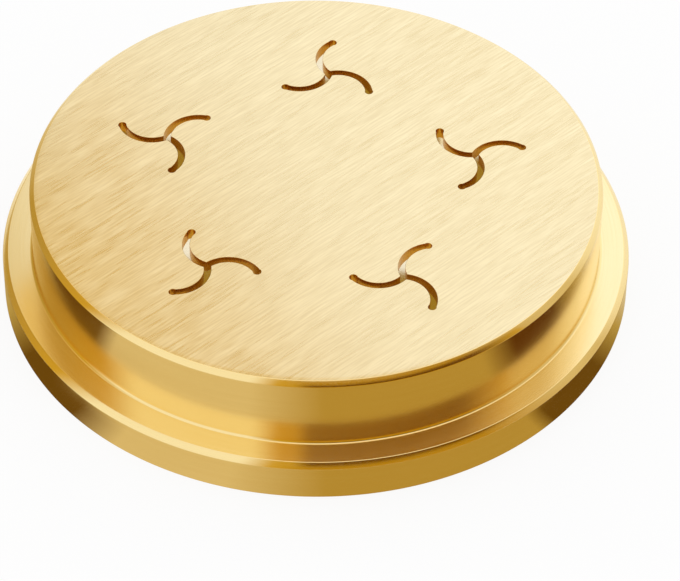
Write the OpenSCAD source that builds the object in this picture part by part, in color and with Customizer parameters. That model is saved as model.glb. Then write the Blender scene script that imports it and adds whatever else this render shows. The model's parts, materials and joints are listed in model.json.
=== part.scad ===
// Pasta extrusion die: one turned brass piece with three-armed swirl slots in its face.
// It stands on its back. The origin is the centre of the back face, and the axis is +Z.

/* [Turned body] */
// Diameter of the raised disc that carries the face
disc_d = 56; // [50:0.5:59]
// Diameter of the clamping flange
flange_d = 62; // [60:0.5:75]
// Height from the back to the face
height = 12; // [9:0.5:20]
// Thickness of the flange
flange_h = 4.2; // [2:0.1:7]
// Chamfer round the face
face_chamfer = 0.45; // [0.1:0.05:1]
// Chamfer round the flange's front edge
flange_chamfer = 0.5; // [0.1:0.05:1]
// Fillet between the disc's wall and the flange's ledge
corner_fillet = 0.3; // [0.1:0.05:1]

/* [Swirl slots] */
// Number of swirls, spaced evenly round the axis
swirl_count = 5; // [3:1:7]
// Diameter of the circle through the swirls' centres
swirl_circle_d = 32; // [26:0.5:38]
// Diameter of one swirl, across the ends of its arms
swirl_d = 10.5; // [8:0.1:12]
// Number of arms in a swirl, one of them pointing away from the axis
arm_count = 3; // [2:1:4]
// Angle that an arm turns through along its arc
arm_sweep = 104; // [40:1:150]
// Width of the slots
slot_w = 0.7; // [0.5:0.05:1.2]
// How much wider than the slot the start hole at each arm's end is
tip_extra = 0.1; // [0.05:0.05:0.4]
// Depth of the slots, the land between the face and the feed bores
land = 1.2; // [0.8:0.1:3]

/* [Feed bores] */
// Room between a swirl's arm ends and the wall of its feed bore
feed_margin = 0.5; // [0.2:0.1:1]
// Chamfer at a feed bore's mouth
feed_chamfer = 0.5; // [0.2:0.1:1]

/* [Hidden] */
disc_r = disc_d / 2;
flange_r = flange_d / 2;
tip_d = slot_w + tip_extra;
arm_reach = (swirl_d - tip_d) / 2;
arm_r = arm_reach / (2 * sin(arm_sweep / 2));
feed_r = swirl_d / 2 + feed_margin;
feed_depth = height - land;
overcut = 0.4;
first_swirl = 90;
brass = "#e6c57c";
$fn = 128;

// Half section of the turned blank, from the axis out
module blank_section() {
    polygon([
        [0, 0],
        [flange_r, 0],
        [flange_r, flange_h - flange_chamfer],
        [flange_r - flange_chamfer, flange_h],
        [disc_r, flange_h],
        [disc_r, height - face_chamfer],
        [disc_r - face_chamfer, height],
        [0, height]
    ]);
    translate([disc_r, flange_h])
        difference() {
            square(corner_fillet);
            translate([corner_fillet, corner_fillet])
                circle(corner_fillet);
        }
}

// Wedge about +Y that keeps the arc's stretch of a ring of radius arm_r
module arc_wedge() {
    side = 2 * arm_r;
    polygon([
        [0, 0],
        [side * sin(arm_sweep / 2), side * cos(arm_sweep / 2)],
        [0, 2 * side],
        [-side * sin(arm_sweep / 2), side * cos(arm_sweep / 2)]
    ]);
}

// One arm in plan: an arc from the hub at the origin to a round end on +X, bulging to +Y
module swirl_arm() {
    translate([arm_reach / 2, -arm_r * cos(arm_sweep / 2)])
        intersection() {
            difference() {
                circle(arm_r + slot_w / 2);
                circle(arm_r - slot_w / 2);
            }
            arc_wedge();
        }
    translate([arm_reach, 0])
        circle(d = tip_d);
}

// One swirl in plan: equal arms that meet in a round hub
module swirl() {
    circle(d = slot_w);
    for (i = [0 : arm_count - 1])
        rotate(i * 360 / arm_count)
            swirl_arm();
}

// Blind bore from the back, up to the land, with a chamfered mouth
module feed_bore() {
    translate([0, 0, -overcut])
        cylinder(r = feed_r, h = feed_depth + overcut);
    translate([0, 0, -overcut])
        cylinder(r1 = feed_r + feed_chamfer + overcut, r2 = feed_r, h = feed_chamfer + overcut);
}

// The whole die, turned from bar, bored from the back and slotted from the front
module die_body() {
    color(brass)
        difference() {
            rotate_extrude()
                blank_section();
            for (i = [0 : swirl_count - 1])
                rotate(first_swirl + i * 360 / swirl_count)
                    translate([swirl_circle_d / 2, 0, 0]) {
                        feed_bore();
                        translate([0, 0, feed_depth - overcut])
                            linear_extrude(land + 2 * overcut)
                                swirl();
                    }
        }
}

die_body();
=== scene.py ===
import json
import math

import bmesh
import bpy
from mathutils import Matrix, Vector


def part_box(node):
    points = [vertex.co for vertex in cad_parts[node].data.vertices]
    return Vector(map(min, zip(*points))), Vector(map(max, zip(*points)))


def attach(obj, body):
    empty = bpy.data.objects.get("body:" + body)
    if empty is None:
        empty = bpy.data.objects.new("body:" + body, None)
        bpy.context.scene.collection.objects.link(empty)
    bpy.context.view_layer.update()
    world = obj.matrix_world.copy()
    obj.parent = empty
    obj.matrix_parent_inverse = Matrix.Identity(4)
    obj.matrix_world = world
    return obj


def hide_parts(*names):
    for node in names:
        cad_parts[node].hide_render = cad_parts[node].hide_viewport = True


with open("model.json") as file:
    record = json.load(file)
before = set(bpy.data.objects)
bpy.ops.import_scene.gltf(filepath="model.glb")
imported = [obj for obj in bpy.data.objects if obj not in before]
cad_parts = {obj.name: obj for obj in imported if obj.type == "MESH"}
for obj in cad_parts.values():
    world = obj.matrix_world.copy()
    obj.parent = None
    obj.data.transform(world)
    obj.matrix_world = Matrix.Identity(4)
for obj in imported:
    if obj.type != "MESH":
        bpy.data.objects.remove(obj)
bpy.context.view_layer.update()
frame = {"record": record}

# Turned blank: one slice of round brass bar, stepped, faced and chamfered on a lathe.
# The wide flange at the back is what a ring nut clamps; its faced ledge has a paler tone, a painted
# highlight. The raised disc carries the face, which is brushed in one straight direction after turning.
MM = 0.001
mounts = {mount["name"]: mount for mount in frame["record"]["mounts"]}
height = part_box("die_body")[1][2]
disc_r = mounts["disc_wall"]["dims"]["r_mm"] * MM
flange_r = mounts["flange_wall"]["dims"]["r_mm"] * MM
flange_h = mounts["clamp_ledge"]["pos_m"][2]
flange_chamfer = flange_h - mounts["flange_wall"]["dims"]["length_mm"] * MM
face_chamfer = 0.45 * MM
corner_fillet = 0.3 * MM
edge_break = 0.05 * MM
rim_lead = 0.5 * MM
turn_steps = 360

# Places of the finishes in the die's material slots; the faced, brushed and bored ones carry a painted
# highlight, the cut one painted shade
TURNED, FACED_HIGHLIT, BRUSHED_HIGHLIT, CUT_SHADED, BORED_HIGHLIT = range(5)


def round_corners(mesh, corners, radius, segments):
    bmesh.ops.bevel(
        mesh, geom=corners, offset=radius, affect="VERTICES", segments=segments, profile=0.5, material=-1,
    )


section = [
    (flange_r - rim_lead, 0),
    (flange_r, 0),
    (flange_r, flange_h - flange_chamfer),
    (flange_r - flange_chamfer, flange_h),
    (disc_r, flange_h),
    (disc_r, height - face_chamfer),
    (disc_r - face_chamfer, height),
    (disc_r - face_chamfer - rim_lead, height),
]
blank = bmesh.new()
corners = [blank.verts.new((r, 0, z)) for r, z in section]
blank.faces.new(corners)
inner_corner = corners[4]
outer_corners = [corner for corner in corners[1:-1] if corner is not inner_corner]
round_corners(blank, [inner_corner], corner_fillet, 6)
round_corners(blank, outer_corners, edge_break, 3)
bmesh.ops.delete(blank, geom=list(blank.faces), context="FACES_ONLY")
closing_edge = [edge for edge in blank.edges if edge.calc_length() > height - 2 * edge_break]
bmesh.ops.delete(blank, geom=closing_edge, context="EDGES")
bmesh.ops.spin(
    blank, geom=list(blank.verts) + list(blank.edges), cent=(0, 0, 0), axis=(0, 0, 1),
    angle=math.tau, steps=turn_steps, use_merge=True,
)
bmesh.ops.remove_doubles(blank, verts=blank.verts, dist=0.001 * MM)
bmesh.ops.holes_fill(blank, edges=blank.edges, sides=turn_steps)
bmesh.ops.recalc_face_normals(blank, faces=blank.faces)
# Level faces get the paler finishes: the brushed top face and the faced ledge, both with a painted
# highlight in their tone.
for face in blank.faces:
    level = face.normal.z > 0.999
    on_top = face.calc_center_median().z > height - edge_break
    face.material_index = (BRUSHED_HIGHLIT if on_top else FACED_HIGHLIT) if level else TURNED


def mesh_object(name, mesh):
    data = bpy.data.meshes.new(name)
    mesh.to_mesh(data)
    mesh.free()
    obj = bpy.data.objects.new(name, data)
    bpy.context.scene.collection.objects.link(obj)
    return obj


die = mesh_object("brass_die", blank)


def add_node(tree, kind, inputs=None, **settings):
    made = tree.nodes.new(kind)
    for name, value in settings.items():
        setattr(made, name, value)
    for name, value in (inputs or {}).items():
        if isinstance(value, bpy.types.NodeSocket):
            tree.links.new(value, made.inputs[name])
        else:
            made.inputs[name].default_value = value
    return made


def span(tree, value, low, high, from_low=0.0, from_high=1.0):
    inputs = {"Value": value, "From Min": from_low, "From Max": from_high, "To Min": low, "To Max": high}
    return add_node(tree, "ShaderNodeMapRange", inputs).outputs["Result"]


def blend(tree, operation, first, second):
    return add_node(tree, "ShaderNodeMath", {0: first, 1: second}, operation=operation).outputs["Value"]


def noise(tree, vector, detail, w=None):
    inputs = {"Vector": vector, "Scale": 1.0, "Detail": detail}
    if w is None:
        return add_node(tree, "ShaderNodeTexNoise", inputs).outputs["Fac"]
    inputs["W"] = w
    return add_node(tree, "ShaderNodeTexNoise", inputs, noise_dimensions="4D").outputs["Fac"]


def stretch(tree, place, lengths, turn=0.0):
    inputs = {"Vector": place, "Rotation": (0, 0, turn), "Scale": lengths}
    return add_node(tree, "ShaderNodeMapping", inputs, vector_type="TEXTURE").outputs["Vector"]


# Bare brass: the marks of its tool give the tone, the roughness and the bump,
# and handling clouds both over wider areas. Each copy's deep and pale tones are given; the faced,
# brushed and bored copies carry a painted highlight in them, and the cut copy painted shade.
def brass_finish(name, draw_marks, deep, pale, smooth, rough, mark_depth):
    finish = bpy.data.materials.new(name)
    finish.use_nodes = True
    tree = finish.node_tree
    shader = tree.nodes["Principled BSDF"]
    place = add_node(tree, "ShaderNodeTexCoord").outputs["Object"]
    marks = draw_marks(tree, place)
    cloud = noise(tree, stretch(tree, place, (9 * MM, 9 * MM, 9 * MM)), 3.0)
    tone = blend(tree, "ADD", marks, span(tree, cloud, -0.15, 0.15))
    ramp = add_node(tree, "ShaderNodeValToRGB", {"Fac": tone})
    ramp.color_ramp.elements[0].color = (*deep, 1)
    ramp.color_ramp.elements[1].color = (*pale, 1)
    tree.links.new(ramp.outputs["Color"], shader.inputs["Base Color"])
    handling = span(tree, cloud, 0.85, 1.15)
    gloss = blend(tree, "MULTIPLY", span(tree, marks, smooth, rough), handling)
    tree.links.new(gloss, shader.inputs["Roughness"])
    bump = add_node(tree, "ShaderNodeBump", {"Height": marks, "Strength": 1.0, "Distance": mark_depth})
    tree.links.new(bump.outputs["Normal"], shader.inputs["Normal"])
    shader.inputs["Metallic"].default_value = 1
    return finish


# The gloss is drawn out across the marks
def follow_marks(finish, tangent_kind, **settings):
    tree = finish.node_tree
    shader = tree.nodes["Principled BSDF"]
    tangent = add_node(tree, "ShaderNodeTangent", direction_type=tangent_kind, **settings)
    tree.links.new(tangent.outputs["Tangent"], shader.inputs["Tangent"])
    shader.inputs["Anisotropic"].default_value = 0.8
    shader.inputs["Anisotropic Rotation"].default_value = 0.25


def rings(tree, place, pitch, arc):
    parts = add_node(tree, "ShaderNodeSeparateXYZ", {0: place}).outputs
    flat = add_node(tree, "ShaderNodeCombineXYZ", {"X": parts["X"], "Y": parts["Y"]}).outputs["Vector"]
    reach = add_node(tree, "ShaderNodeVectorMath", {0: flat}, operation="LENGTH").outputs["Value"]
    return noise(tree, stretch(tree, place, (arc, arc, pitch)), 2.0, blend(tree, "DIVIDE", reach, pitch))


def fine_and_broad(tree, fine, broad):
    return blend(tree, "ADD", span(tree, fine, 0, 0.6), span(tree, broad, 0, 0.4))


def turning_marks(tree, place):
    fine = rings(tree, place, 0.11 * MM, 14 * MM)
    broad = rings(tree, place, 0.6 * MM, 30 * MM)
    return fine_and_broad(tree, fine, broad)


turned_brass = brass_finish(
    "turned_brass", turning_marks, deep=(0.92, 0.7, 0.3), pale=(0.99, 0.81, 0.42),
    smooth=0.12, rough=0.2, mark_depth=0.002 * MM,
)
follow_marks(turned_brass, "RADIAL", axis="Z")
# The faced ledge's paler tones are a painted highlight on top of its faced finish.
faced_brass_with_painted_highlight = brass_finish(
    "faced_brass_with_painted_highlight", turning_marks, deep=(0.92, 0.73, 0.36), pale=(1.0, 0.88, 0.57),
    smooth=0.14, rough=0.22, mark_depth=0.002 * MM,
)
follow_marks(faced_brass_with_painted_highlight, "RADIAL", axis="Z")

brush_turn = math.radians(47.6)


def scratches(tree, place, length, width, low, high):
    lay = stretch(tree, place, (length, width, 1), brush_turn)
    return span(tree, noise(tree, lay, 1.0), low, high, 0.36, 0.64)


def brush_marks(tree, place):
    hairs = scratches(tree, place, 3 * MM, 0.2 * MM, 0, 0.5)
    strokes = scratches(tree, place, 8 * MM, 0.5 * MM, 0.02, 0.28)
    bands = scratches(tree, place, 30 * MM, 2 * MM, 0.015, 0.235)
    return blend(tree, "ADD", blend(tree, "ADD", hairs, strokes), bands)


# The brushed face's pale tones carry a painted highlight on top of its brushed finish.
brushed_brass_with_painted_highlight = brass_finish(
    "brushed_brass_with_painted_highlight", brush_marks, deep=(0.78, 0.645, 0.38), pale=(1.0, 0.88, 0.585),
    smooth=0.24, rough=0.38, mark_depth=0.0035 * MM,
)
follow_marks(brushed_brass_with_painted_highlight, "UV_MAP", uv_map="brush_lay")

# Swirl slots: three-armed slots through the face, cut with a fine milling cutter.
# Each arm is an arc from the hub to a start hole, and one arm points away from the axis.
# The feed bores behind them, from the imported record, give their places.
swirl_d = 10.5 * MM
arm_count = 3
arm_sweep = math.radians(104)
slot_w = 0.7 * MM
tip_r = 0.4 * MM
land = 1.2 * MM
slot_break = 0.02 * MM
overcut = 0.2 * MM
arm_steps = 40
hole_segments = 40
arm_reach = swirl_d / 2 - tip_r
arm_r = arm_reach / (2 * math.sin(arm_sweep / 2))
feed_depth = height - land
slot_low = feed_depth - overcut
slot_high = height + overcut
flare_low = height - slot_break
flare = slot_break + overcut


def opening_centre(opening):
    low, high = opening["box_m"]
    return Vector((low[0] + high[0], low[1] + high[1], 0)) / 2


feed_centres = [opening_centre(opening) for opening in frame["record"]["physics"]["openings"]]


def add_cone(mesh, place, low_r, high_r, low, high, segments):
    middle = place @ Matrix.Translation((0, 0, (low + high) / 2))
    bmesh.ops.create_cone(
        mesh, cap_ends=True, segments=segments, radius1=low_r, radius2=high_r,
        depth=high - low, matrix=middle,
    )


def add_slot_hole(mesh, place, radius):
    add_cone(mesh, place, radius, radius, slot_low, slot_high, hole_segments)
    add_cone(mesh, place, radius, radius + flare, flare_low, slot_high, hole_segments)


def add_arm(mesh, place):
    arc_centre = Vector((arm_reach / 2, -arm_r * math.cos(arm_sweep / 2), 0))
    start = math.pi / 2 + arm_sweep / 2
    outward = Vector((math.cos(start), math.sin(start), 0))
    half_w = slot_w / 2
    profile = [
        (-half_w, slot_low), (half_w, slot_low), (half_w, flare_low),
        (half_w + flare, slot_high), (-half_w - flare, slot_high), (-half_w, flare_low),
    ]
    ends = [arc_centre + outward * (arm_r + s) + Vector((0, 0, z)) for s, z in profile]
    end_face = mesh.faces.new([mesh.verts.new(place @ end) for end in ends])
    bmesh.ops.spin(
        mesh, geom=[end_face], cent=place @ arc_centre, axis=(0, 0, 1), angle=-arm_sweep, steps=arm_steps,
    )
    add_slot_hole(mesh, place @ Matrix.Translation((arm_reach, 0, 0)), tip_r)


swirls = bmesh.new()
for centre in feed_centres:
    outward_turn = Matrix.Rotation(math.atan2(centre.y, centre.x), 4, "Z")
    hub = Matrix.Translation(centre) @ outward_turn
    add_slot_hole(swirls, hub, slot_w / 2)
    for arm in range(arm_count):
        add_arm(swirls, hub @ Matrix.Rotation(arm * math.tau / arm_count, 4, "Z"))
bmesh.ops.recalc_face_normals(swirls, faces=swirls.faces)
for face in swirls.faces:
    face.material_index = CUT_SHADED
swirl_cutter = mesh_object("swirl_cutter", swirls)


def cutter_marks(tree, place):
    return noise(tree, stretch(tree, place, (0.12 * MM, 0.12 * MM, 1.5 * MM)), 2.0)


# The slot walls' deep brown tones are painted shade for the narrow slots, on top of the milled finish.
cut_brass_with_painted_shade = brass_finish(
    "cut_brass_with_painted_shade", cutter_marks, deep=(0.5, 0.23, 0.015), pale=(0.68, 0.36, 0.04),
    smooth=0.2, rough=0.3, mark_depth=0.001 * MM,
)

# Feed bores: one blind round bore behind each swirl, bored from the back up to the slots' land.
# The press feeds the slots through them. The mouths have a small chamfer, and the floors are flat.
feed_margin = 0.5 * MM
feed_r = swirl_d / 2 + feed_margin
feed_chamfer = 0.5 * MM
mouth_r = feed_r + feed_chamfer + overcut
bore_segments = 128
bores = bmesh.new()
for centre in feed_centres:
    at_centre = Matrix.Translation(centre)
    add_cone(bores, at_centre, feed_r, feed_r, -overcut, feed_depth, bore_segments)
    add_cone(bores, at_centre, mouth_r, feed_r, -overcut, feed_chamfer, bore_segments)
bmesh.ops.recalc_face_normals(bores, faces=bores.faces)
for face in bores.faces:
    face.material_index = BORED_HIGHLIT
bore_cutter = mesh_object("bore_cutter", bores)


def boring_marks(tree, place):
    fine = noise(tree, stretch(tree, place, (5 * MM, 5 * MM, 0.1 * MM)), 2.0)
    broad = noise(tree, stretch(tree, place, (12 * MM, 12 * MM, 0.5 * MM)), 2.0)
    return fine_and_broad(tree, fine, broad)


# The bored walls' near-white tones are a painted highlight, seen through the slots.
bored_brass_with_painted_highlight = brass_finish(
    "bored_brass_with_painted_highlight", boring_marks, deep=(0.9, 0.78, 0.54), pale=(0.99, 0.9, 0.7),
    smooth=0.1, rough=0.18, mark_depth=0.001 * MM,
)


def cut_away(obj, cutter):
    cut = obj.modifiers.new(cutter.name, "BOOLEAN")
    cut.operation = "DIFFERENCE"
    cut.solver = "EXACT"
    cut.use_self = True
    cut.object = cutter


for finish in (turned_brass, faced_brass_with_painted_highlight, brushed_brass_with_painted_highlight, cut_brass_with_painted_shade, bored_brass_with_painted_highlight):
    die.data.materials.append(finish)
cut_away(die, bore_cutter)
cut_away(die, swirl_cutter)


# Takes the result of the piece's modifiers as its mesh
def settle(obj):
    finished = obj.evaluated_get(bpy.context.evaluated_depsgraph_get())
    obj.data = bpy.data.meshes.new_from_object(finished)
    obj.modifiers.clear()


settle(die)
for cutter in (bore_cutter, swirl_cutter):
    bpy.data.objects.remove(cutter)

# Flat lay of the brush marks: U runs along them
brush_lay = die.data.uv_layers.new(name="brush_lay")
brush_frame = Matrix.Rotation(-brush_turn, 4, "Z")
for loop in die.data.loops:
    brush_lay.uv[loop.index].vector = (brush_frame @ die.data.vertices[loop.vertex_index].co).xy / height

# Broad surfaces keep their own normals, and the eased edges blend between them
die.data.shade_smooth()
die.data.set_sharp_from_angle(angle=math.radians(30))
even_normals = die.modifiers.new("even_normals", "WEIGHTED_NORMAL")
even_normals.keep_sharp = True
settle(die)
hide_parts("die_body")
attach(die, "root")

# Studio: a plain pale floor that keeps the die's soft shadow, under an even white sky.
# Glowing sheets round the die paint the reflections that give the bare metal its contrast, with painted
# shade in their dark tones.
floor_mesh = bmesh.new()
bmesh.ops.create_grid(floor_mesh, x_segments=1, y_segments=1, size=1.5)
floor = mesh_object("studio_floor", floor_mesh)


def seen_rays(tree):
    rays = add_node(tree, "ShaderNodeLightPath").outputs
    mirrored = blend(tree, "MAXIMUM", rays["Is Glossy Ray"], rays["Is Transmission Ray"])
    return blend(tree, "MAXIMUM", rays["Is Camera Ray"], mirrored)


floor_white = 0.88
pale_floor = bpy.data.materials.new("pale_floor")
pale_floor.use_nodes = True
floor_tree = pale_floor.node_tree
floor_tree.nodes.remove(floor_tree.nodes["Principled BSDF"])
matt = add_node(floor_tree, "ShaderNodeBsdfDiffuse", {"Color": (0.9, 0.9, 0.9, 1)})
glow = add_node(floor_tree, "ShaderNodeEmission", {"Color": (1, 1, 1, 1), "Strength": 1.0})
share = blend(floor_tree, "MULTIPLY", seen_rays(floor_tree), floor_white)
surface = add_node(floor_tree, "ShaderNodeMixShader", {0: share, 1: matt.outputs[0], 2: glow.outputs[0]})
floor_out = floor_tree.nodes["Material Output"]
floor_tree.links.new(surface.outputs[0], floor_out.inputs["Surface"])
floor.data.materials.append(pale_floor)

# Only the metal sees these glowing sheets, whose tones are painted reflections: two rings on the floor, a
# low band and a dark sheet that stand on the camera's side, a card that leans behind on the left, and
# small discs under the feed bores.
# The tones of rings, band and dark sheet go by bearing, in degrees from the camera's side.
camera_side = math.radians(-90 + 4.3)


def bearing_of(point):
    turn = math.degrees(math.atan2(point.y, point.x) - camera_side)
    return (turn + 180) % 360 - 180


def tone_at(stops, bearing):
    for (low, low_tone), (high, high_tone) in zip(stops, stops[1:]):
        if low <= bearing <= high:
            return Vector(low_tone).lerp(Vector(high_tone), (bearing - low) / (high - low))
    return Vector(stops[-1][1])


# Makes a sheet glow in its tones, hidden from the camera, shadows and diffuse light: a painted reflection
# in the metal.
def show_to_metal(glow_sheet, tone_of):
    tones = glow_sheet.data.color_attributes.new("tone", "FLOAT_COLOR", "POINT")
    for vertex, tone in zip(glow_sheet.data.vertices, tones.data):
        tone.color = (*tone_of(vertex.co), 1)
    painted_glow = bpy.data.materials.new(glow_sheet.name)
    painted_glow.use_nodes = True
    tree = painted_glow.node_tree
    tree.nodes.remove(tree.nodes["Principled BSDF"])
    tone = add_node(tree, "ShaderNodeVertexColor", layer_name="tone")
    lit = add_node(tree, "ShaderNodeEmission", {"Color": tone.outputs["Color"], "Strength": 1.0})
    tree.links.new(lit.outputs[0], tree.nodes["Material Output"].inputs["Surface"])
    glow_sheet.data.materials.append(painted_glow)
    glow_sheet.visible_camera = False
    glow_sheet.visible_shadow = False
    glow_sheet.visible_diffuse = False


def add_glow_sheet(name, profile, stops, steps):
    first, last = stops[0][0], stops[-1][0]
    full = last - first == 360
    start = camera_side + math.radians(first)
    sheet = bmesh.new()
    points = [sheet.verts.new((r * math.cos(start), r * math.sin(start), z)) for r, z in profile]
    edges = [sheet.edges.new(pair) for pair in zip(points, points[1:])]
    bmesh.ops.spin(
        sheet, geom=points + edges, cent=(0, 0, 0), axis=(0, 0, 1),
        angle=math.radians(last - first), steps=steps, use_merge=full,
    )
    show_to_metal(mesh_object(name, sheet), lambda point: tone_at(stops, bearing_of(point)))


white = (1, 1, 1)
cream = (0.95, 0.9, 0.8)
sand = (0.72, 0.6, 0.37)
honey = (0.84, 0.62, 0.27)
gold = (0.48, 0.33, 0.08)
amber = (0.64, 0.41, 0.045)
copper = (0.5, 0.29, 0.02)
bronze = (0.34, 0.2, 0.02)
umber = (0.15, 0.075, 0.008)
dark = (0.1, 0.03, 0)
on_floor = 0.02 * MM
# The rings' umber and dark bands at the die's sides are painted shadow of the die on the floor.
inner_ring = [(30.9 * MM, on_floor), (33.7 * MM, on_floor)]
inner_tones = [
    (-180, white), (-130, white), (-110, sand), (-78, gold), (-66, umber), (-49, umber),
    (-38, sand), (-16, sand), (2, gold), (44, gold), (48, umber), (64, umber),
    (75, gold), (84, sand), (94, white), (180, white),
]
add_glow_sheet("inner_ring", inner_ring, inner_tones, 360)
outer_ring = [(33.7 * MM, on_floor), (50 * MM, on_floor)]
outer_tones = [
    (-180, white), (-120, white), (-106, sand), (-92, gold), (-80, dark), (-60, umber),
    (-54, sand), (-16, sand), (2, gold), (44, gold), (54, dark), (69, dark),
    (82, gold), (93, sand), (102, white), (180, white),
]
add_glow_sheet("outer_ring", outer_ring, outer_tones, 360)
# The low band's tones are painted reflections in the walls, darkest in front.
low_band = [(45 * MM, 2 * MM), (45 * MM, 40 * MM)]
band_tones = [
    (-142, white), (-126, sand), (-104, gold), (-90, gold), (-67, amber), (-54, white), (-17, white),
    (-10, amber), (-2, copper), (40, copper), (66, sand), (78, sand), (88, cream), (100, white),
]
add_glow_sheet("low_band", low_band, band_tones, 242)
# A dark sheet in front: painted shade in the reflections of the ledge and low wall.
front_shade_sheet = [(44 * MM, 16 * MM), (44 * MM, 25 * MM)]
front_shade_tones = [(-6, amber), (-1, dark), (42, dark), (58, amber)]
add_glow_sheet("front_shade_sheet", front_shade_sheet, front_shade_tones, 64)

# A glowing honey card leaning behind on the left: a painted warm reflection in the face.
away = Vector((-math.cos(camera_side), -math.sin(camera_side), 0))
left = away.cross(Vector((0, 0, -1)))
card_middle = away * 150 * MM + left * 119 * MM + Vector((0, 0, 286 * MM))
card_facing = away.to_track_quat("Z", "Y").to_matrix().to_4x4()
card_lean = Matrix.Rotation(math.radians(30), 4, "Z")
card_size = Matrix.Diagonal((150 * MM, 190 * MM, 1, 1))
card_place = Matrix.Translation(card_middle) @ card_facing @ card_lean @ card_size
card = bmesh.new()
bmesh.ops.create_grid(card, x_segments=1, y_segments=1, size=1, matrix=card_place)
show_to_metal(mesh_object("left_card", card), lambda point: honey)


def add_bore_cards(name, tone, shift, lift):
    cards = bmesh.new()
    for centre in feed_centres:
        place = Matrix.Translation(centre + away * shift + Vector((0, 0, lift)))
        bmesh.ops.create_circle(cards, cap_ends=True, segments=48, radius=feed_r, matrix=place)
    show_to_metal(mesh_object(name, cards), lambda point: tone)


# White discs under the bores: painted light seen through the slots. Bronze discs set back by 4 mm:
# painted shadow of the die on the floor under the bores.
add_bore_cards("bore_cards", white, 0, on_floor / 2)
add_bore_cards("bore_painted_shadow", bronze, 4 * MM, on_floor)

softbox = bpy.data.lights.new("softbox", "AREA")
softbox.shape = "SQUARE"
softbox.size = 0.5
softbox.energy = 0.12
softbox_lamp = bpy.data.objects.new("softbox", softbox)
softbox_lamp.location = (0.17, 0.52, 0.46)
softbox_lamp.rotation_euler = (-softbox_lamp.location).to_track_quat("-Z", "Y").to_euler()
bpy.context.scene.collection.objects.link(softbox_lamp)

sky = bpy.data.worlds.new("white_studio")
bpy.context.scene.world = sky
sky.use_nodes = True
sky_light = sky.node_tree.nodes["Background"]
sky_light.inputs["Color"].default_value = (1, 1, 1, 1)
sky_light.inputs["Strength"].default_value = 1

# Camera: a long lens from the front, looking down on the face at about 44 degrees.
# Its place, turn and lens put the rims and slots where the photograph has them.
camera_data = bpy.data.cameras.new("camera")
camera_data.sensor_fit = "HORIZONTAL"
camera_data.sensor_width = 36
camera_data.lens = 185.28
camera = bpy.data.objects.new("camera", camera_data)
camera_place = Matrix.Translation((19 * MM, -252.72 * MM, 241.3 * MM))
heading = Matrix.Rotation(math.radians(3.749), 4, "Z")
tilt = Matrix.Rotation(math.radians(90 - 43.949), 4, "X")
roll = Matrix.Rotation(math.radians(0.744), 4, "Z")
camera.matrix_world = camera_place @ heading @ tilt @ roll
bpy.context.scene.collection.objects.link(camera)
bpy.context.scene.camera = camera
bpy.context.scene.view_settings.view_transform = "Standard"
